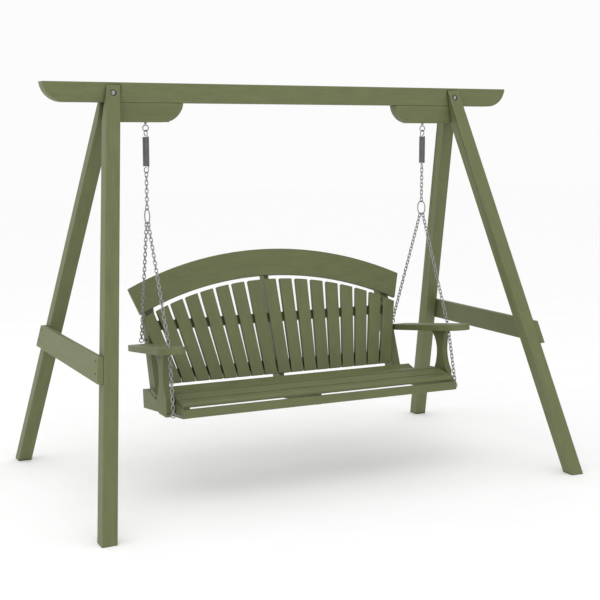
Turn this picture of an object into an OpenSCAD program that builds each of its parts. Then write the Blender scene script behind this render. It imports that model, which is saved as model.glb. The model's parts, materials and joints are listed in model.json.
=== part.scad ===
/* [Stand] */
// Height of the stand, floor to the top of the beam
stand_h = 2000; // [1960:5:2060]
// Length of the top beam
beam_len = 2596; // [2560:2:2660]
// Thickness of the beam and its blocks, front to back
beam_t = 70; // [66:1:76]
// Height of the top beam
beam_h = 95; // [90:1:102]
// Height of the block under each end of the beam
block_h = 93; // [88:1:98]
// Half distance between the inner ends of the two blocks
block_inner_x = 600; // [560:5:640]
// Radius of the rounded ends of the beam and blocks
end_r = 105; // [103:1:115]
// Width of a leg, side to side
leg_w = 71; // [66:1:76]
// Depth of a leg, front to back
leg_d = 69; // [64:1:72]
// Half distance between the leg centres at the top of the beam
leg_top_x = 952; // [930:2:970]
// Outward splay of a leg towards the side, run per unit of height
leg_splay_x = 0.152; // [0.12:0.002:0.18]
// Outward splay of a leg towards the front or rear, run per unit of height
leg_splay_y = 0.388; // [0.36:0.002:0.41]
// Height of the lower edge of the side braces
brace_z = 658; // [600:1:700]
// Height of a side brace board
brace_h = 114; // [100:1:130]
// Thickness of a side brace board
brace_t = 28; // [24:1:34]

/* [Suspension] */
// Half distance between the two hanging points
hang_x = 786; // [760:1:800]
// Height of the centre of the eye bolts under the beam
eye_z = 1784; // [1778:1:1788]
// Mean radius of the beam eyes
eye_r = 14.5; // [13.5:0.5:16]
// Wire radius of the beam eyes
eye_wire = 2.7; // [2.5:0.1:3]
// Outer radius of the extension springs
spring_r = 16.5; // [15:0.5:19]
// Mean radius of the hook loops on the springs
hook_r = 14; // [13:0.5:14]
// Wire radius of the spring hooks
hook_wire = 2.2; // [2:0.1:2.4]
// Height of the centre of the suspension rings
ring_z = 1355.5; // [1352:0.1:1358]
// Mean radius of the suspension rings
ring_r = 37; // [35:0.5:38]
// Wire radius of the suspension rings
ring_wire = 3.2; // [3:0.1:3.4]
// Wire diameter of the chain links
link_d = 4.8; // [4:0.1:5]
// Outside width of a chain link
link_w = 19; // [18:0.5:20]
// Links in each upper chain, an odd number
upper_links = 9; // [9]

/* [Bench] */
// Half width of the seat, over the side frames
seat_x = 760; // [750:1:770]
// Thickness of the side frames
side_t = 36; // [34:1:38]
// Thickness of the seat and back slats
slat_t = 22; // [20:1:24]
// Gap between neighbouring seat slats
seat_gap = 7; // [6:0.5:9]
// Lean of the back, run per unit of height
back_lean = 0.39; // [0.36:0.01:0.42]
// Height of the lower ends of the back slats
back_z = 492.5; // [490:0.5:496]
// Front-to-back place of the lower ends of the back slats
back_y = 87; // [84:1:90]
// Back slats on each side of the centre one
side_slats = 8; // [8]
// Pitch of the back slats at their lower ends
slat_pitch = 77.3; // [76:0.1:78]
// How much the slat pitch grows per unit of length, which makes the fan
slat_fan = 0.0331; // [0.03:0.0001:0.035]
// Gap between the slats at their lower ends
slat_gap_low = 8; // [6:0.5:14]
// Gap between the slats at the top of the fan
slat_gap_high = 24; // [18:0.5:26]
// Outer radius of the arched top rail
arch_out_r = 1884; // [1878:1:1890]
// Inner radius of the arched top rail
arch_in_r = 1737; // [1732:1:1742]
// Radius of the line that the slat tops follow
slat_top_r = 1715; // [1710:1:1720]
// Thickness of an arm board
arm_t = 32; // [28:1:36]
// Radius of the chain hole in an arm
arm_hole_r = 15; // [13:0.5:17]

/* [Hidden] */
$fn = 48;
eps = 0.01;
play = 0.3;
olive = "#6c7350";
zinc = "#9a9da0";
steel = "#55585c";

// Stand: heights under the beam, and the slope angles of a leg
beam_z = stand_h - beam_h;
block_z = beam_z - block_h;
leg_ay = -atan(leg_splay_x);
leg_ax = -atan(leg_splay_y * cos(leg_ay));
leg_drop = 10;
leg_bolt_z = stand_h - 50;
leg_bolt_x = leg_top_x + leg_splay_x * (stand_h - leg_bolt_z);
leg_recess_y = beam_t / 2 + 9;
block_outer_x = leg_top_x + leg_splay_x * beam_h + leg_w / 4;

// Suspension: the pivots and the places where one piece of wire lies in another
swing_z = eye_z - eye_r;
hook_top_z = swing_z + eye_wire + play + hook_wire;
spring_top_z = hook_top_z - 2 * hook_r - hook_wire - 1;
ring_top_z = ring_z + ring_r;
chain_low_z = ring_top_z - ring_wire - play;
link_pitch = 20;
chain_high_z = chain_low_z + upper_links * link_pitch;
hook_low_z = chain_high_z - play - hook_wire;
spring_low_z = hook_low_z + 2 * hook_r + hook_wire + 1;

// Bench: the line under the seat slats, from rear to front, as [y, z]
seat_line = [[77, 461], [0, 438], [-78, 449], [-158, 484], [-242, 490], [-322, 475], [-394, 470]];
seat_rear_y = 198;
seat_low_rear = [188, 355];
seat_low_front = [-393, 418];
centre_x = -39;
centre_t = 30;
centre_frame_rear_y = 66;
apron_z = 424;
apron_h = 41;
upright_t = 28;
side_upright_t = 50;
upright_x = seat_x - side_t;
upright_top_z = 905;
upright_low_z = 385;
upright_rear_y = 166;
upright_rear_lean = 0.33;

// Back: its own frame has X across, Y through the slats and Z up the slope
back_angle = atan(back_lean);
arch_centre_s = -1195;
arch_low = [751.5, 362];
arch_high = [802, 509];
fan_s = 540;
upper_rail_s = 288;
lower_rail_s = 28;
rail_h = 49;
rail_t = 22;

// Arms: a plane that rises to the front, given by its place above the chain hole
arm_y = -285;
arm_z = 750.3;
arm_angle = -atan(0.131);
post_t = 31;
post_spacer_t = 17;
post_x = seat_x + post_spacer_t;
post_foot_z = 408;

// Eye bolts of the bench
eye2_r = 11.5;
eye2_wire = 2.6;
eye_bore = 27;
eye_bore_r = 3.2;
front_eye = [793, -353, 431];
rear_eye = [750, 233, 701];

// ---- Helpers ----

// A copy on the left of what is drawn on the right
module on_side(side) {
    if (side > 0) children();
    else mirror([1, 0, 0]) children();
}

// A copy at the rear of what is drawn at the front
module at_end(end) {
    if (end < 0) children();
    else mirror([0, 1, 0]) children();
}

// Front-view outline of a board whose lower corner is a quarter round, at x = 0
module round_end_board(len, h, r) {
    intersection() {
        square([len, h]);
        union() {
            translate([r, r]) circle(r);
            translate([r, 0]) square([len, h]);
        }
    }
}

// A board drawn as a side view, [y, z], and given a thickness along X from x0
module side_board(x0, t) {
    translate([x0, 0, 0]) rotate([90, 0, 90]) linear_extrude(t) children();
}

// A closed ring of wire in the XZ plane
module wire_ring(r, wire) {
    rotate([90, 0, 0]) rotate_extrude() translate([r, 0]) circle(wire);
}

// One chain link in the XZ plane, with the given inside length along Z
module link(inside) {
    r = (link_w - link_d) / 2;
    half = (inside + link_d) / 2 - r;
    for (end = [0, 1]) mirror([0, 0, end]) {
        translate([0, 0, half])
            rotate([90, 0, 0]) rotate_extrude(angle = 180) translate([r, 0]) circle(link_d / 2);
        for (side = [-1, 1])
            translate([side * r, 0, 0]) cylinder(d = link_d, h = half);
    }
}

// Places its children at a point, with Z along a direction and X kept near the row's own X
module aim(at, dir) {
    z = dir / norm(dir);
    flat = [1, 0, 0] - z * z[0];
    x = flat / norm(flat);
    y = cross(z, x);
    multmatrix([
        [x[0], y[0], z[0], at[0]],
        [x[1], y[1], z[1], at[1]],
        [x[2], y[2], z[2], at[2]],
        [0, 0, 0, 1]
    ]) children();
}

// A taut chain of links from one point to another; each second link is turned a quarter
module chain(from, to, count, first = 0) {
    step = norm(to - from) / count;
    for (i = [0:count - 1])
        aim(from + (to - from) * (i + 0.5) / count, to - from)
            rotate([0, 0, 90 * ((i + first) % 2)]) link(step + play);
}

// Hexagonal head or nut, with Z along its axis
module hex(flats, h) {
    cylinder(d = flats / cos(30), h = h, $fn = 6);
}

// A round screw head with a driver recess, its flat side on z = 0
module screw(head_r, head_h, len) {
    difference() {
        cylinder(r1 = head_r, r2 = head_r * 0.7, h = head_h);
        translate([0, 0, head_h / 2]) cylinder(d = head_r * 0.8, h = head_h, $fn = 6);
    }
    translate([0, 0, -len]) cylinder(r = head_r * 0.4, h = len + eps);
}

// ---- Stand ----

module top_beam() {
    color(olive) difference() {
        for (side = [-1, 1]) on_side(side)
            translate([beam_len / 2, beam_t / 2, beam_z])
                mirror([1, 0, 0]) rotate([90, 0, 0])
                    linear_extrude(beam_t) round_end_board(beam_len / 2 + eps, beam_h, end_r);
        for (side = [-1, 1]) {
            translate([side * hang_x, 0, beam_z - 1]) cylinder(r = 4.3, h = beam_h + 2);
            translate([side * hang_x, 0, stand_h - 12]) cylinder(r = 13, h = 13);
            translate([side * leg_bolt_x, 0, leg_bolt_z])
                rotate([90, 0, 0]) cylinder(r = 5.2, h = beam_t + 2, center = true);
        }
    }
}

module beam_block(side) {
    color(olive) on_side(side) difference() {
        translate([block_inner_x, beam_t / 2, block_z]) rotate([90, 0, 0])
            linear_extrude(beam_t) round_end_board(block_outer_x - block_inner_x, block_h, end_r);
        translate([hang_x, 0, block_z - 1]) cylinder(r = 4.3, h = block_h + 2);
    }
}

module leg(side, end) {
    color(olive) on_side(side) at_end(end) difference() {
        translate([leg_top_x, -beam_t / 2 + 0.5, stand_h]) rotate([leg_ax, leg_ay, 0])
            translate([-leg_w / 2, 0, -stand_h * 1.12]) cube([leg_w, leg_d, stand_h * 1.2]);
        translate([0, -stand_h, -400]) cube([2 * stand_h, 2 * stand_h, 400]);
        translate([0, -stand_h, stand_h - leg_drop]) cube([2 * stand_h, 2 * stand_h, 400]);
        translate([leg_top_x / 2, -beam_t / 2, block_z - 60]) cube([leg_top_x, 200, 400]);
        translate([leg_bolt_x, 0, leg_bolt_z]) rotate([90, 0, 0]) cylinder(r = 5.2, h = 200);
        translate([leg_bolt_x, -leg_recess_y, leg_bolt_z]) rotate([90, 0, 0]) cylinder(r = 15, h = 100);
    }
}

// The brace lies flat on the outer faces of its two legs, and its ends follow them
module side_brace(side) {
    run = leg_splay_y * stand_h;
    reach = beam_t / 2;
    color(olive) on_side(side) intersection() {
        translate([leg_top_x, 0, stand_h]) rotate([0, leg_ay, 0])
            translate([leg_w / 2, -stand_h / 2, -stand_h]) cube([brace_t, stand_h, stand_h]);
        translate([0, -stand_h / 2, brace_z]) cube([2 * stand_h, stand_h, brace_h]);
        side_board(0, 2 * stand_h)
            polygon([[-reach - run, 0], [reach + run, 0], [reach, stand_h], [-reach, stand_h]]);
    }
}

module leg_bolts() {
    washer_t = 2;
    color(zinc) for (side = [-1, 1]) translate([side * leg_bolt_x, 0, leg_bolt_z])
        for (end = [-1, 1]) rotate([end * 90, 0, 0]) {
            cylinder(r = 4.9, h = leg_recess_y + washer_t + 6);
            translate([0, 0, leg_recess_y]) cylinder(r = 11, h = washer_t);
            translate([0, 0, leg_recess_y + washer_t]) hex(17, 6);
        }
}

// Painted screws through each brace into its legs
module brace_screws() {
    color(olive) for (side = [-1, 1]) on_side(side)
        for (end = [-1, 1], z = [brace_z + 30, brace_z + brace_h - 30]) {
            fall = stand_h - z;
            leg_y = beam_t / 2 + leg_splay_y * fall - leg_d / 2;
            translate([leg_top_x + leg_splay_x * fall, end * leg_y, z]) rotate([0, 90 + leg_ay, 0])
                translate([0, 0, leg_w / 2 + brace_t]) screw(7, 3, 60);
        }
}

module block_screws() {
    color(zinc) for (side = [-1, 1], x = [block_inner_x + 70, hang_x + 90])
        translate([side * x, 0, block_z + 3]) rotate([180, 0, 0]) screw(7, 3, 120);
}

// ---- Suspension ----

module beam_eye(side) {
    color(zinc) translate([side * hang_x, 0, 0]) {
        translate([0, 0, eye_z]) wire_ring(eye_r, eye_wire);
        translate([0, 0, eye_z + eye_r]) cylinder(r = 4, h = stand_h - eye_z - eye_r - 1);
        translate([0, 0, block_z - 8]) hex(12.5, 6.5);
        translate([0, 0, block_z - 1.5]) cylinder(r = 8.5, h = 1.5);
        translate([0, 0, stand_h - 12]) cylinder(r = 11, h = 2);
        translate([0, 0, stand_h - 10]) hex(13, 6.5);
    }
}

// Loop of spring wire, square to the eye that it hangs in, with the neck that meets the coil
module spring_hook(side, loop_z, neck_z) {
    up = neck_z > loop_z ? 1 : -1;
    color(steel) translate([side * hang_x, 0, loop_z]) {
        rotate([0, 0, 90]) wire_ring(hook_r, hook_wire);
        translate([0, 0, up * (hook_r + hook_wire / 2)]) mirror([0, 0, up < 0 ? 1 : 0])
            cylinder(r = hook_wire * 1.3, h = abs(neck_z - loop_z) - hook_r - hook_wire / 2);
    }
}

module spring_coil(side) {
    color(steel) translate([side * hang_x, 0, spring_low_z]) difference() {
        cylinder(r = spring_r, h = spring_top_z - spring_low_z);
        translate([0, 0, -1]) cylinder(r = spring_r - 5, h = spring_top_z - spring_low_z + 2);
    }
}

module upper_chain(side) {
    color(zinc)
        chain([side * hang_x, 0, chain_high_z], [side * hang_x, 0, chain_low_z], upper_links);
}

module suspension_ring(side) {
    color(zinc) translate([side * hang_x, 0, ring_z]) rotate([0, 0, 90]) wire_ring(ring_r, ring_wire);
}

// Where a chain that pulls towards a point starts, inside the lower part of the ring
function ring_start(to) =
    let (centre = [hang_x, 0, ring_z], dir = [0, to[1], to[2] - ring_z])
    centre + dir / norm(dir) * (ring_r - ring_wire - play);

function under_eye(eye) = [eye[0], eye[1], eye[2] + eye2_r - eye2_wire - play];

module front_chain(side) {
    hole = [hang_x - 1, arm_y, arm_z - 5];
    color(zinc) on_side(side) {
        chain(ring_start(hole), hole, 32);
        chain(hole, under_eye(front_eye), 16);
    }
}

module rear_chain(side) {
    to = under_eye(rear_eye);
    color(zinc) on_side(side) chain(ring_start(to), to, 32);
}

// Eye bolt of the bench, screwed inwards into a board whose outer face is at face_x
module bench_eye(side, eye, face_x) {
    color(zinc) on_side(side) translate(eye) {
        wire_ring(eye2_r, eye2_wire);
        rotate([0, -90, 0]) {
            translate([0, 0, eye2_r]) cylinder(r = 3, h = eye[0] - face_x - eye2_r + eye_bore - 1);
            translate([0, 0, eye[0] - face_x - 7]) hex(11, 5);
            translate([0, 0, eye[0] - face_x - 2]) cylinder(r = 8, h = 2);
        }
    }
}

// ---- Seat ----

// Side view of a seat frame, whose top carries the slats; it runs back to rear_y
module seat_frame_outline(rear_y) {
    low = seat_low_front;
    slope = (seat_low_rear[1] - low[1]) / (seat_low_rear[0] - low[0]);
    long = rear_y > seat_line[0][0];
    body = [for (p = seat_line) if (p[0] < rear_y && p[0] > low[0]) p];
    rear_z = long ? 452 : lookup(rear_y, [seat_line[1], seat_line[0]]);
    polygon(concat(
        long ? [[rear_y, rear_z], [seat_line[0][0] + 20, rear_z + 2]] : [[rear_y, rear_z]],
        body,
        [[low[0], seat_line[6][1]], low],
        [[rear_y - 10, low[1] + slope * (rear_y - 10 - low[0])]]
    ));
}

module seat_side(side) {
    color(olive) on_side(side) difference() {
        side_board(seat_x - side_t, side_t) seat_frame_outline(seat_rear_y);
        translate([seat_x - eye_bore, front_eye[1], front_eye[2]])
            rotate([0, 90, 0]) cylinder(r = eye_bore_r, h = eye_bore + 1);
    }
}

module seat_centre_frame() {
    color(olive) side_board(centre_x - centre_t / 2, centre_t)
        seat_frame_outline(centre_frame_rear_y);
}

module seat_apron() {
    color(olive) translate([-seat_x, seat_low_front[0] - slat_t, apron_z])
        cube([2 * seat_x, slat_t, apron_h]);
}

module seat_stretcher() {
    w = upright_x - side_upright_t;
    color(olive) translate([-w, 112, 384]) cube([2 * w, slat_t, 56]);
}

// Slope of the seat line from its point k + 1 back to its point k
function seat_slope(k) =
    let (run = seat_line[k] - seat_line[k + 1]) atan2(run[1], run[0]);

// How far a slat stops short of point k, where the line may fold upwards
function seat_joint(k) =
    let (fold = k > 0 && k < 6 ? max(0, seat_slope(k - 1) - seat_slope(k)) : 0)
    seat_gap / 2 + slat_t * tan(fold / 2);

// Slat number 1 is at the front and has a rounded nose
module seat_slat(number) {
    rear = seat_line[6 - number];
    front = seat_line[7 - number];
    run = rear - front;
    w = norm(run) - seat_joint(6 - number) - seat_joint(7 - number);
    nose = number == 1 ? 18 : 3;
    color(olive) translate([0, front[0], front[1]]) rotate([seat_slope(6 - number), 0, 0])
        translate([0, seat_joint(7 - number), 0]) side_board(-seat_x + 2, 2 * seat_x - 4) intersection() {
            square([w, slat_t]);
            union() {
                translate([nose, slat_t - nose]) circle(nose);
                translate([nose, 0]) square([w, slat_t]);
                square([w, slat_t - nose]);
            }
        }
}

// ---- Back ----

module on_back() {
    translate([0, back_y, back_z]) rotate([-back_angle, 0, 0]) children();
}

// A front-view outline in the back's own frame, given a thickness behind the slat fronts
module back_board(y0, t) {
    on_back() translate([0, y0 + t, 0]) rotate([90, 0, 0]) linear_extrude(t) children();
}

// Tapered slat number i of the fan, counted from the centre; its top follows the arch
module fan_slat(i) {
    high_pitch = slat_pitch + slat_fan * fan_s;
    back_board(0, slat_t) intersection() {
        translate([0, arch_centre_s]) circle(slat_top_r, $fn = 360);
        polygon([
            [(i - 0.5) * slat_pitch + slat_gap_low / 2, 0],
            [(i + 0.5) * slat_pitch - slat_gap_low / 2, 0],
            [(i + 0.5) * high_pitch - slat_gap_high / 2, fan_s],
            [(i - 0.5) * high_pitch + slat_gap_high / 2, fan_s]
        ]);
    }
}

module back_slats(side) {
    color(olive) for (i = [1:side_slats]) fan_slat(side * i);
}

module back_slat_centre() {
    color(olive) fan_slat(0);
}

module arched_top_rail() {
    cut = arch_high - arch_low;
    low = arch_low - cut * 0.6;
    high = arch_high + cut * 0.6;
    color(olive) back_board(0, slat_t) intersection() {
        difference() {
            translate([0, arch_centre_s]) circle(arch_out_r, $fn = 360);
            translate([0, arch_centre_s]) circle(arch_in_r, $fn = 360);
        }
        polygon([[-low[0], low[1]], low, high, [high[0], 900], [-high[0], 900], [-high[0], high[1]]]);
    }
}

module back_rail(s) {
    w = upright_x - side_upright_t;
    color(olive) back_board(slat_t, rail_t) translate([-w, s]) square([2 * w, rail_h]);
}

// Side view of a back upright; its front edge is right behind the slats
module upright_outline(top_z) {
    front_shift = slat_t / cos(back_angle);
    front = function(z) back_y + back_lean * (z - back_z) + front_shift;
    rear = function(z) upright_rear_y + upright_rear_lean * (z - upright_low_z);
    polygon([
        [front(upright_low_z), upright_low_z], [rear(upright_low_z), upright_low_z],
        [rear(top_z), top_z], [front(top_z), top_z]
    ]);
}

module upright(side) {
    color(olive) on_side(side) difference() {
        side_board(upright_x - side_upright_t, side_upright_t) upright_outline(upright_top_z);
        translate([upright_x - eye_bore, rear_eye[1], rear_eye[2]])
            rotate([0, 90, 0]) cylinder(r = eye_bore_r, h = eye_bore + 1);
    }
}

module upright_centre() {
    color(olive) difference() {
        side_board(centre_x + centre_t / 2, upright_t) upright_outline(upright_top_z + 160);
        for (s = [lower_rail_s, upper_rail_s])
            back_board(0, slat_t + rail_t + 0.2) translate([-100, s - 0.2]) square([200, rail_h + 0.4]);
        translate([-200, 0, 0]) cube([400, 200, 442]);
    }
}

// ---- Arms ----

module arm_outline() {
    hull() {
        translate([736, 500]) circle(12);
        translate([816, 498]) circle(14);
        translate([736, -20]) circle(12);
        translate([822, 250]) circle(28);
        translate([796, -78]) circle(54);
        translate([798, -62]) circle(68);
    }
}

module on_arm() {
    translate([0, arm_y, arm_z]) rotate([arm_angle, 0, 0]) children();
}

module arm(side) {
    color(olive) on_side(side) difference() {
        on_arm() translate([0, 0, -arm_t]) linear_extrude(arm_t) arm_outline();
        on_arm() translate([hang_x - 1, 0, -arm_t - 1]) cylinder(r = arm_hole_r, h = arm_t + 2);
    }
}

// Cuts a concave edge with its waist at p, opening to the front (-1) or rear (1)
module post_scoop(p, upper_r, lower_r, dir) {
    intersection() {
        translate([p[0] + dir * upper_r, p[1]]) circle(upper_r);
        translate([-1000, p[1]]) square([2000, 400]);
    }
    intersection() {
        translate([p[0] + dir * lower_r, p[1]]) circle(lower_r);
        translate([-1000, p[1] - 400]) square([2000, 400]);
    }
}

// Side view of an arm post: a foot with rounded corners, a narrow waist and a flared top
module arm_post_outline() {
    difference() {
        union() {
            translate([-300, post_foot_z + 92]) square([180, 300]);
            translate([-294, post_foot_z + 22]) square([122, 100]);
            translate([-282, post_foot_z]) square([88, 30]);
            translate([-282, post_foot_z + 12]) square([20, 30]);
            translate([-282, post_foot_z + 12]) circle(12);
            translate([-194, post_foot_z + 22]) circle(22);
        }
        post_scoop([-191, 592], 120, 200, 1);
        post_scoop([-249.5, 615], 260, 165, -1);
    }
}

module arm_post(side) {
    color(olive) on_side(side) difference() {
        side_board(post_x, post_t) arm_post_outline();
        on_arm() translate([0, -400, -arm_t]) cube([2000, 1000, 400]);
    }
}

// Packing blocks between the side frames and the feet of the arm posts
module post_spacers() {
    color(olive) for (side = [-1, 1]) on_side(side) translate([seat_x, -284, post_foot_z + 12])
        cube([post_spacer_t, 100, 72]);
}

// ---- Screws of the bench ----

module seat_screws() {
    color(olive) for (x = [-seat_x + side_t / 2, centre_x, seat_x - side_t / 2], n = [1:6]) {
        rear = seat_line[6 - n];
        front = seat_line[7 - n];
        run = rear - front;
        translate([x, (rear[0] + front[0]) / 2, (rear[1] + front[1]) / 2])
            rotate([atan2(run[1], run[0]), 0, 0])
                translate([0, 0, slat_t]) screw(4, 1, 40);
    }
}

// Screws from behind the rails into each back slat
module back_screws() {
    color(zinc) for (s = [lower_rail_s, upper_rail_s], i = [-side_slats:side_slats])
        if (abs(i * (slat_pitch + slat_fan * s) - centre_x - centre_t) > 28 && abs(i) < 8 + (s < 100 ? 1 : 0))
            on_back() translate([i * (slat_pitch + slat_fan * (s + rail_h / 2)), slat_t + rail_t, s + rail_h / 2])
                rotate([-90, 0, 0]) screw(4, 1.5, 30);
}

module arm_screws() {
    color(olive) for (side = [-1, 1]) on_side(side)
        on_arm() for (y = [60, 120]) translate([post_x + post_t / 2, y, 0]) screw(5, 1.5, 60);
}

top_beam();
beam_block(-1);  // beam_block_left
beam_block(1);  // beam_block_right
leg(-1, -1);  // leg_front_left
leg(1, -1);  // leg_front_right
leg(-1, 1);  // leg_rear_left
leg(1, 1);  // leg_rear_right
side_brace(-1);  // side_brace_left
side_brace(1);  // side_brace_right
leg_bolts();
brace_screws();
block_screws();
beam_eye(-1);  // beam_eye_left
beam_eye(1);  // beam_eye_right
spring_hook(-1, hook_top_z - hook_r, spring_top_z);  // spring_hook_upper_left
spring_hook(1, hook_top_z - hook_r, spring_top_z);  // spring_hook_upper_right
spring_coil(-1);  // spring_left
spring_coil(1);  // spring_right
spring_hook(-1, hook_low_z + hook_r, spring_low_z);  // spring_hook_lower_left
spring_hook(1, hook_low_z + hook_r, spring_low_z);  // spring_hook_lower_right
upper_chain(-1);  // upper_chain_left
upper_chain(1);  // upper_chain_right
suspension_ring(-1);  // ring_left
suspension_ring(1);  // ring_right
front_chain(-1);  // front_chain_left
front_chain(1);  // front_chain_right
rear_chain(-1);  // rear_chain_left
rear_chain(1);  // rear_chain_right
bench_eye(-1, front_eye, seat_x);  // front_eye_left
bench_eye(1, front_eye, seat_x);  // front_eye_right
bench_eye(-1, rear_eye, upright_x);  // rear_eye_left
bench_eye(1, rear_eye, upright_x);  // rear_eye_right
seat_side(-1);  // seat_side_left
seat_side(1);  // seat_side_right
seat_centre_frame();
seat_apron();
seat_stretcher();
seat_slat(1);  // seat_slat_1
seat_slat(2);  // seat_slat_2
seat_slat(3);  // seat_slat_3
seat_slat(4);  // seat_slat_4
seat_slat(5);  // seat_slat_5
seat_slat(6);  // seat_slat_6
arm(-1);  // arm_left
arm(1);  // arm_right
arm_post(-1);  // arm_post_left
arm_post(1);  // arm_post_right
post_spacers();
upright(-1);  // upright_left
upright(1);  // upright_right
upright_centre();
back_rail(upper_rail_s);  // back_rail_upper
back_rail(lower_rail_s);  // back_rail_lower
arched_top_rail();
back_slats(-1);  // back_slats_left
back_slat_centre();
back_slats(1);  // back_slats_right
seat_screws();
back_screws();
arm_screws();
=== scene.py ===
import json
import math
import random

import bmesh
import bpy
from mathutils import Euler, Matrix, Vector


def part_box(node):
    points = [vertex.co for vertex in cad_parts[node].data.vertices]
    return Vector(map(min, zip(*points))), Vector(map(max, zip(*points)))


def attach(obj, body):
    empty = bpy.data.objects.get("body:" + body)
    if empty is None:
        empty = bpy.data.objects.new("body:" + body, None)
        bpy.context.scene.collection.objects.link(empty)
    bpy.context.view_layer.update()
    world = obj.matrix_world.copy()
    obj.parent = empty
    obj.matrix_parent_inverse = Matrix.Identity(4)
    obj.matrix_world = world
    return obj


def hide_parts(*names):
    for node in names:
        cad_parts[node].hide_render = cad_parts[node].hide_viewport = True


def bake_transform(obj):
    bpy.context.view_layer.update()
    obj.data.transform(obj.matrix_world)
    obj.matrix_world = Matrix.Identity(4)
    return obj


# Looks of the porch swing. Metres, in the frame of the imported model.

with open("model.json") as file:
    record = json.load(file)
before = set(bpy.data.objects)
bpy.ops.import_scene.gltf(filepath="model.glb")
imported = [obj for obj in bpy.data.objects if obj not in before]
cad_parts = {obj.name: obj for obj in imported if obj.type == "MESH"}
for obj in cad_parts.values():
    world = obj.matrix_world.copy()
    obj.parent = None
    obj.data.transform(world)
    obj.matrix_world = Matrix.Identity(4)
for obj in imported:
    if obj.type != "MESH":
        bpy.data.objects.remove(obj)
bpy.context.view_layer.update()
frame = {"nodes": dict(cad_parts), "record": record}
record = frame["record"]
SLOT_OF = {part["node"]: part["material_slot"] for part in record["subparts"]}
BODY_OF = {n: body for body, names in record["behaviour"]["bodies"].items() for n in names}

# Boards: how far in from the corner an edge is eased, and in how many steps
EASE_STAND = 0.0035
EASE_BENCH = 0.0020
EASE_SEGMENTS = 3
EASE_PROFILE = 0.5
# Convex edges sharper than SHARP_ANGLE are eased, and edges flatter than FLAT_ANGLE are dissolved
SHARP_ANGLE = math.radians(30)
FLAT_ANGLE = math.radians(0.4)
WELD_DISTANCE = 1e-5
# Decimal places of a metre to which edge lengths are compared
LENGTH_DIGITS = 5
# Faces that meet at less than this are shaded as one surface
SMOOTH_ANGLE = math.radians(38)
# A board's materials by slot: its faces, then its eased edges
BOARD_SLOTS = ("lumber", "lumber_edge_wear_and_highlight")

# Boards whose grain doesn't run along their longest straight edge
GRAIN = {
    "arched_top_rail": Vector((1, 0, 0)),
    "arm_post_left": Vector((0, 0, 1)),
    "arm_post_right": Vector((0, 0, 1)),
    "seat_side_left": Vector((0, 1, 0)),
    "seat_side_right": Vector((0, 1, 0)),
    "seat_centre_frame": Vector((0, 1, 0)),
}
# The way across a board's grain is square to this
GRAIN_GUIDE = Vector((0.0, 0.31, 0.95))
# Each board's grain is shifted by up to this, so that boards don't match
GRAIN_SHIFT = 9
BOARD_SEED = 7

# Springs
SPRINGS = ("spring_left", "spring_right")
COIL_WIRE = 0.0044
COIL_STEPS = 28
COIL_SIDES = 10
HOOK_WIRE = 0.0044
HOOK_STEPS = 14
HOOK_OPENING = math.radians(50)
# The share of the coil's radius that a hook's wire leans in to as it leaves the coil
HOOK_LEAN = 0.98
# Each hook's spring, whether it is on the spring's top (1) or bottom (-1), and its turn about Z
HOOKS = {
    "spring_hook_upper_left": ("spring_left", 1, math.radians(-75)),
    "spring_hook_lower_left": ("spring_left", -1, math.radians(-60)),
    "spring_hook_upper_right": ("spring_right", 1, math.radians(100)),
    "spring_hook_lower_right": ("spring_right", -1, math.radians(75)),
}
# How finely a hook's wire is rounded and bent
WIRE_ROUNDNESS = 4
WIRE_CURVE_ORDER = 4
WIRE_CURVE_STEPS = 6

# The dark and light ends of each material's colour
LUMBER_DARK = (0.124, 0.139, 0.057)
LUMBER_LIGHT = (0.150, 0.166, 0.074)
LUMBER_SPECULAR = 0.34
# Eased edges are lighter than the board by this factor: partly wear, partly a painted highlight
EDGE_WEAR_AND_HIGHLIGHT_LIFT = 1.05
ZINC_DARK = (0.25, 0.255, 0.26)
ZINC_LIGHT = (0.46, 0.465, 0.47)
SPRING_DARK = (0.15, 0.152, 0.155)
SPRING_LIGHT = (0.23, 0.232, 0.235)
# Painted shade: the colour is darkened in gaps and inner corners narrower than about this
PAINTED_SHADE_REACH = 0.02
PAINTED_SHADE_SAMPLES = 8
# Most of a noise texture's values lie between these
NOISE_LOW = 0.3
NOISE_HIGH = 0.7
# Socket numbers of a Mix node that mixes colours
MIX_FACTOR = 0
MIX_A = 6
MIX_B = 7
MIX_RESULT = 2

# Floor, light and camera
WHITE = (1.0, 1.0, 1.0)
FLOOR_SIZE = 60
FLOOR_DARK = (0.86, 0.86, 0.86)
FLOOR_LIGHT = (0.88, 0.88, 0.88)
FLOOR_ROUGHNESS = 0.9
FLOOR_GLOW = 0.11
SURROUND_STRENGTH = 0.97
LAMP_SIZE = 4.0
# Each soft light's place, the point that it faces, and its power in watts
LAMPS = {
    "overhead": ((-1.0, -1.5, 6.0), (0, 0, 0.8), 35),
    "front_fill": ((-4.0, -6.0, 3.5), (0, 0, 0.9), 22),
    "left_fill": ((-7.0, 0.5, 2.5), (0.5, 0, 0.8), 45),
}
LENS_MM = 72.4
SENSOR_MM = 36
CAMERA_PLACE = (-2.7071, -5.6486, 1.7507)
CAMERA_TURN = (math.radians(82.207), math.radians(0.068), math.radians(-26.005))


# ---- Materials ----

def new_material(name):
    mat = bpy.data.materials.new(name)
    mat.use_nodes = True
    tree = mat.node_tree
    return mat, tree, tree.nodes["Principled BSDF"]


def add(tree, kind, **settings):
    """A node with its settings; a setting that names an input socket goes to that socket."""
    node = tree.nodes.new(kind)
    for key, value in settings.items():
        if hasattr(node, key):
            setattr(node, key, value)
        else:
            node.inputs[key.replace("_", " ")].default_value = value
    return node


def rgba(colour):
    return (*colour, 1.0)


def lifted(colour, lift):
    return tuple(channel * lift for channel in colour)


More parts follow.
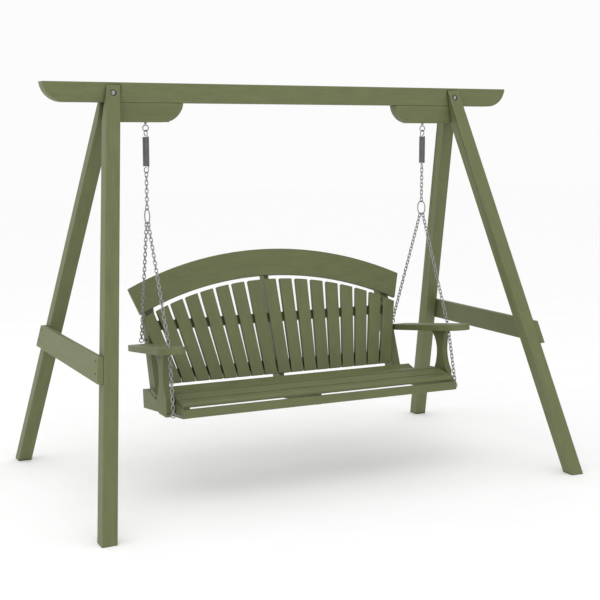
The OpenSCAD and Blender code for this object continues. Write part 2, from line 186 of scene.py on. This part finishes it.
def noise(tree, vector, scale, detail=4.0, roughness=0.55, stretch=(1, 1, 1)):
    mapping = add(tree, "ShaderNodeMapping", Scale=stretch)
    tree.links.new(vector, mapping.inputs["Vector"])
    tex = add(tree, "ShaderNodeTexNoise", Scale=scale, Detail=detail, Roughness=roughness)
    tree.links.new(mapping.outputs["Vector"], tex.inputs["Vector"])
    return tex.outputs["Fac"]


def ramp(tree, factor, *stops):
    """Runs from one colour to another; each of the two stops is a position and a colour."""
    node = add(tree, "ShaderNodeValToRGB")
    for element, (position, colour) in zip(node.color_ramp.elements, stops):
        element.position = position
        element.color = rgba(colour)
    tree.links.new(factor, node.inputs["Fac"])
    return node.outputs["Color"]


def to_range(tree, value, low, high):
    """Spreads a noise texture's values from low to high."""
    node = add(tree, "ShaderNodeMapRange", From_Min=NOISE_LOW, From_Max=NOISE_HIGH, To_Min=low, To_Max=high)
    tree.links.new(value, node.inputs["Value"])
    return node.outputs["Result"]


def multiplied(tree, a, b):
    node = add(tree, "ShaderNodeMix", data_type="RGBA", blend_type="MULTIPLY")
    node.inputs[MIX_FACTOR].default_value = 1.0
    tree.links.new(a, node.inputs[MIX_A])
    tree.links.new(b, node.inputs[MIX_B])
    return node.outputs[MIX_RESULT]


def bumped(tree, shader, *heights):
    """Chains one Bump node for each (height, strength, distance) into the shader's normal."""
    normal = None
    for height, strength, distance in heights:
        node = add(tree, "ShaderNodeBump", Strength=strength, Distance=distance)
        tree.links.new(height, node.inputs["Height"])
        if normal is not None:
            tree.links.new(normal, node.inputs["Normal"])
        normal = node.outputs["Normal"]
    tree.links.new(normal, shader.inputs["Normal"])


def lumber_material(name, lift, rough_low, rough_high):
    """Olive recycled-plastic lumber with brushed grain, slow mottling and painted shade in its crevices and
    inner corners.

    Each board has a tint of its own, and lift makes the whole colour lighter.
    """
    mat, tree, shader = new_material(name)
    board = add(tree, "ShaderNodeAttribute", attribute_name="board").outputs["Vector"]
    tint = add(tree, "ShaderNodeAttribute", attribute_name="board_tint").outputs["Fac"]
    streaks = noise(tree, board, scale=1.0, detail=6.0, roughness=0.6, stretch=(7, 260, 260))
    fine = noise(tree, board, scale=1.0, detail=3.0, roughness=0.6, stretch=(40, 1500, 1500))
    mottle = noise(tree, board, scale=9.0, detail=3.0, roughness=0.5, stretch=(1, 3, 3))
    grain = ramp(tree, streaks, (0.30, lifted(LUMBER_DARK, lift)), (0.72, lifted(LUMBER_LIGHT, lift)))
    cloud = ramp(tree, mottle, (0.30, (0.93, 0.93, 0.93)), (0.70, (1.06, 1.06, 1.05)))
    own = ramp(tree, tint, (0.0, (0.95, 0.955, 0.95)), (1.0, (1.05, 1.05, 1.05)))
    clean = multiplied(tree, multiplied(tree, grain, cloud), own)
    # Painted shade: ambient occlusion darkens the base colour in gaps and inner corners
    crevice_shade = add(tree, "ShaderNodeAmbientOcclusion", samples=PAINTED_SHADE_SAMPLES, Distance=PAINTED_SHADE_REACH)
    darkening = ramp(tree, crevice_shade.outputs["AO"], (0.15, (0.22, 0.22, 0.20)), (0.80, WHITE))
    tree.links.new(multiplied(tree, clean, darkening), shader.inputs["Base Color"])
    tree.links.new(to_range(tree, mottle, rough_low, rough_high), shader.inputs["Roughness"])
    shader.inputs["Specular IOR Level"].default_value = LUMBER_SPECULAR
    bumped(tree, shader, (streaks, 0.35, 0.0006), (fine, 0.25, 0.0002))
    return mat


def metal_material(name, dark, light, rough_low, rough_high, metallic, spangle):
    """Plated or painted wire: blotchy plating, rough patches and a finely pitted surface."""
    mat, tree, shader = new_material(name)
    place = add(tree, "ShaderNodeTexCoord").outputs["Object"]
    blotch = noise(tree, place, scale=spangle, detail=4.0, roughness=0.6)
    pits = noise(tree, place, scale=1400.0, detail=3.0, roughness=0.6)
    grime = noise(tree, place, scale=60.0, detail=3.0, roughness=0.5)
    plating = ramp(tree, blotch, (0.30, dark), (0.70, light))
    darkening = ramp(tree, grime, (0.30, (0.82, 0.81, 0.79)), (0.62, WHITE))
    tree.links.new(multiplied(tree, plating, darkening), shader.inputs["Base Color"])
    tree.links.new(to_range(tree, blotch, rough_low, rough_high), shader.inputs["Roughness"])
    shader.inputs["Metallic"].default_value = metallic
    bumped(tree, shader, (pits, 0.3, 0.0002))
    return mat


MATERIALS = {
    "lumber": lumber_material("olive_lumber", lift=1.0, rough_low=0.46, rough_high=0.60),
    # The eased edges' material: lighter for wear and for a painted highlight
    "lumber_edge_wear_and_highlight": lumber_material("olive_lumber_worn_highlighted_edge", lift=EDGE_WEAR_AND_HIGHLIGHT_LIFT,
                                   rough_low=0.40, rough_high=0.52),
    "zinc": metal_material("zinc_plating", ZINC_DARK, ZINC_LIGHT,
                           rough_low=0.28, rough_high=0.44, metallic=0.85, spangle=180.0),
    "spring_steel": metal_material("dark_spring_coating", SPRING_DARK, SPRING_LIGHT,
                                   rough_low=0.34, rough_high=0.48, metallic=0.55, spangle=240.0),
}


# ---- Boards ----

def islands(bm):
    """The separate solids in a mesh, each as a list of vertices."""
    seen = set()
    for first in bm.verts:
        if first in seen:
            continue
        seen.add(first)
        group = []
        queue = [first]
        while queue:
            vert = queue.pop()
            group.append(vert)
            for edge in vert.link_edges:
                other = edge.other_vert(vert)
                if other not in seen:
                    seen.add(other)
                    queue.append(other)
        yield group


def longest_edge_direction(verts):
    edges = set(edge for vert in verts for edge in vert.link_edges)
    edge = max(edges, key=lambda e: (round(e.calc_length(), LENGTH_DIGITS), e.index))
    return (edge.verts[1].co - edge.verts[0].co).normalized()


def write_board_coordinates(bm, node, rng):
    """Stores where each point lies along, across and through its own board, and a tint for each board."""
    board = bm.verts.layers.float_vector.new("board")
    tint = bm.verts.layers.float.new("board_tint")
    for verts in islands(bm):
        along = GRAIN.get(node) or longest_edge_direction(verts)
        across = along.cross(GRAIN_GUIDE).normalized()
        through = along.cross(across)
        shift = Vector([rng.uniform(0, GRAIN_SHIFT) for _ in range(3)])
        shade = rng.random()
        for vert in verts:
            place = Vector((vert.co.dot(along), vert.co.dot(across), vert.co.dot(through)))
            vert[board] = place + shift
            vert[tint] = shade


def smooth_shaded(mesh):
    mesh.polygons.foreach_set("use_smooth", [True] * len(mesh.polygons))
    mesh.set_sharp_from_angle(angle=SMOOTH_ANGLE)


def link_piece(name, mesh):
    piece = bpy.data.objects.new(name, mesh)
    bpy.context.scene.collection.objects.link(piece)
    return piece


def eased_board(node, ease, rng):
    """A copy of a CAD board with rounded-over edges, which stands for the CAD node."""
    bm = bmesh.new()
    bm.from_mesh(frame["nodes"][node].data)
    bmesh.ops.remove_doubles(bm, verts=bm.verts, dist=WELD_DISTANCE)
    bmesh.ops.dissolve_limit(bm, angle_limit=FLAT_ANGLE, verts=bm.verts, edges=bm.edges)
    write_board_coordinates(bm, node, rng)
    sharp = [e for e in bm.edges if e.is_convex and e.calc_face_angle(0) > SHARP_ANGLE]
    bmesh.ops.bevel(bm, geom=sharp, offset=ease, segments=EASE_SEGMENTS, profile=EASE_PROFILE,
                    affect="EDGES", clamp_overlap=False, material=BOARD_SLOTS.index("lumber_edge_wear_and_highlight"))
    mesh = bpy.data.meshes.new(node + "_eased")
    bm.to_mesh(mesh)
    bm.free()
    smooth_shaded(mesh)
    for material in BOARD_SLOTS:
        mesh.materials.append(MATERIALS[material])
    piece = link_piece(node + "_eased", mesh)
    weighted = piece.modifiers.new("flat_faces", "WEIGHTED_NORMAL")
    weighted.keep_sharp = True
    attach(piece, BODY_OF[node])
    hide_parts(node)


# ---- Springs ----

def upright_centre(low, high):
    """The middle of a box in plan, at floor height."""
    return Vector(((low.x + high.x) / 2, (low.y + high.y) / 2, 0))


def helix_mesh(name, centre, radius, low, high, turns):
    """A closed-wound coil of round wire between two heights."""
    steps = turns * COIL_STEPS
    rise = high - low - COIL_WIRE
    verts = []
    faces = []
    for i in range(steps + 1):
        turn = 2 * math.pi * i / COIL_STEPS
        out = Vector((math.cos(turn), math.sin(turn), 0))
        middle = centre + out * radius + Vector((0, 0, low + COIL_WIRE / 2 + rise * i / steps))
        for k in range(COIL_SIDES):
            angle = 2 * math.pi * k / COIL_SIDES
            spoke = out * math.cos(angle) + Vector((0, 0, math.sin(angle)))
            verts.append(middle + spoke * COIL_WIRE / 2)
    for i in range(steps):
        near = i * COIL_SIDES
        far = near + COIL_SIDES
        for k in range(COIL_SIDES):
            next_k = (k + 1) % COIL_SIDES
            faces.append((near + k, far + k, far + next_k, near + next_k))
    faces.append(tuple(range(COIL_SIDES)))
    faces.append(tuple(reversed(range(steps * COIL_SIDES, (steps + 1) * COIL_SIDES))))
    mesh = bpy.data.meshes.new(name)
    mesh.from_pydata(verts, [], faces)
    mesh.validate()
    smooth_shaded(mesh)
    return mesh


def coil_spring(node):
    """A coil that stands for the CAD node, in the gap between the two bodies that it joins."""
    low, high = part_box(node)
    centre = upright_centre(low, high)
    radius = (high.x - low.x) / 2 - COIL_WIRE / 2
    turns = int((high.z - low.z - COIL_WIRE) / COIL_WIRE)
    mesh = helix_mesh(node + "_coil", centre, radius, low.z, high.z, turns)
    mesh.materials.append(MATERIALS["spring_steel"])
    piece = link_piece(node + "_coil", mesh)
    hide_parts(node)
    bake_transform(piece)


def wire_mesh(name, points, wire):
    """A bent round wire along a smooth curve through the points."""
    curve = bpy.data.curves.new(name, "CURVE")
    curve.dimensions = "3D"
    curve.bevel_depth = wire / 2
    curve.bevel_resolution = WIRE_ROUNDNESS
    curve.use_fill_caps = True
    spline = curve.splines.new("NURBS")
    spline.points.add(len(points) - 1)
    for target, point in zip(spline.points, points):
        target.co = (*point, 1.0)
    spline.use_endpoint_u = True
    spline.order_u = WIRE_CURVE_ORDER
    spline.resolution_u = WIRE_CURVE_STEPS
    shape = bpy.data.objects.new(name, curve)
    bpy.context.scene.collection.objects.link(shape)
    mesh = bpy.data.meshes.new_from_object(shape.evaluated_get(bpy.context.evaluated_depsgraph_get()))
    bpy.data.objects.remove(shape)
    smooth_shaded(mesh)
    return mesh


def spring_hook(node, spring, up, turned):
    """The coil's end wire: it leaves the side of the last turn, leans in and bends into a loop."""
    low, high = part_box(node)
    coil_low, coil_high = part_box(spring)
    centre = upright_centre(low, high)
    loop_radius = (high.y - low.y) / 2 - HOOK_WIRE / 2
    coil_radius = (coil_high.x - coil_low.x) / 2 - COIL_WIRE / 2
    start = coil_high.z if up > 0 else coil_low.z
    tip = high.z if up > 0 else low.z
    across = Vector((math.cos(turned), math.sin(turned), 0))
    rise = Vector((0, 0, up))
    base = centre + Vector((0, 0, start))
    middle = centre + Vector((0, 0, tip - up * (loop_radius + HOOK_WIRE / 2)))
    path = [base + across * coil_radius - rise * COIL_WIRE / 2, base + across * coil_radius * HOOK_LEAN]
    for k in range(HOOK_STEPS + 1):
        angle = HOOK_OPENING + (2 * math.pi - HOOK_OPENING) * k / HOOK_STEPS - math.pi / 2
        path.append(middle + (across * math.cos(angle) + rise * math.sin(angle)) * loop_radius)
    mesh = wire_mesh(node + "_wire", path, HOOK_WIRE)
    mesh.materials.append(MATERIALS["spring_steel"])
    piece = link_piece(node + "_wire", mesh)
    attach(piece, BODY_OF[node])
    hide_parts(node)


# ---- Build ----

def dress(node, source, rng):
    """Gives a CAD node its look: a finer piece in its place, or a material on its own shape."""
    slot = SLOT_OF[node]
    if node in SPRINGS:
        coil_spring(node)
    elif node in HOOKS:
        spring_hook(node, *HOOKS[node])
    elif slot == "lumber" and not node.endswith("screws"):
        eased_board(node, EASE_STAND if BODY_OF[node] == "stand" else EASE_BENCH, rng)
    else:
        source.data.materials.clear()
        source.data.materials.append(MATERIALS[slot])


# ---- Floor, light and camera ----

def pale_floor():
    mat, tree, shader = new_material("pale_floor")
    place = add(tree, "ShaderNodeTexCoord").outputs["Object"]
    tone = ramp(tree, noise(tree, place, scale=3.0), (NOISE_LOW, FLOOR_DARK), (NOISE_HIGH, FLOOR_LIGHT))
    tree.links.new(tone, shader.inputs["Base Color"])
    shader.inputs["Roughness"].default_value = FLOOR_ROUGHNESS
    shader.inputs["Emission Color"].default_value = rgba(WHITE)
    shader.inputs["Emission Strength"].default_value = FLOOR_GLOW
    bpy.ops.mesh.primitive_plane_add(size=FLOOR_SIZE)
    floor = bpy.context.object
    floor.name = "floor"
    floor.data.materials.append(mat)


def soft_light(name, place, target, power):
    light = bpy.data.lights.new(name, "AREA")
    light.shape = "SQUARE"
    light.size = LAMP_SIZE
    light.energy = power
    lamp = bpy.data.objects.new(name, light)
    lamp.location = place
    lamp.rotation_euler = (Vector(target) - Vector(place)).to_track_quat("-Z", "Y").to_euler()
    bpy.context.scene.collection.objects.link(lamp)


def white_studio():
    """A plain white surround, shown without a film curve so that white stays white."""
    bpy.context.scene.view_settings.view_transform = "Standard"
    world = bpy.data.worlds.new("white_studio")
    world.use_nodes = True
    background = world.node_tree.nodes["Background"]
    background.inputs["Color"].default_value = rgba(WHITE)
    background.inputs["Strength"].default_value = SURROUND_STRENGTH
    bpy.context.scene.world = world


def camera():
    data = bpy.data.cameras.new("camera")
    data.lens = LENS_MM
    data.sensor_width = SENSOR_MM
    view = bpy.data.objects.new("camera", data)
    view.location = CAMERA_PLACE
    view.rotation_euler = Euler(CAMERA_TURN)
    bpy.context.scene.collection.objects.link(view)
    bpy.context.scene.camera = view


# ---- Scene ----

board_rng = random.Random(BOARD_SEED)
for node_name, cad_piece in sorted(frame["nodes"].items()):
    dress(node_name, cad_piece, board_rng)

pale_floor()
white_studio()
for lamp_name, (lamp_place, lamp_target, lamp_power) in LAMPS.items():
    soft_light(lamp_name, lamp_place, lamp_target, lamp_power)
camera()
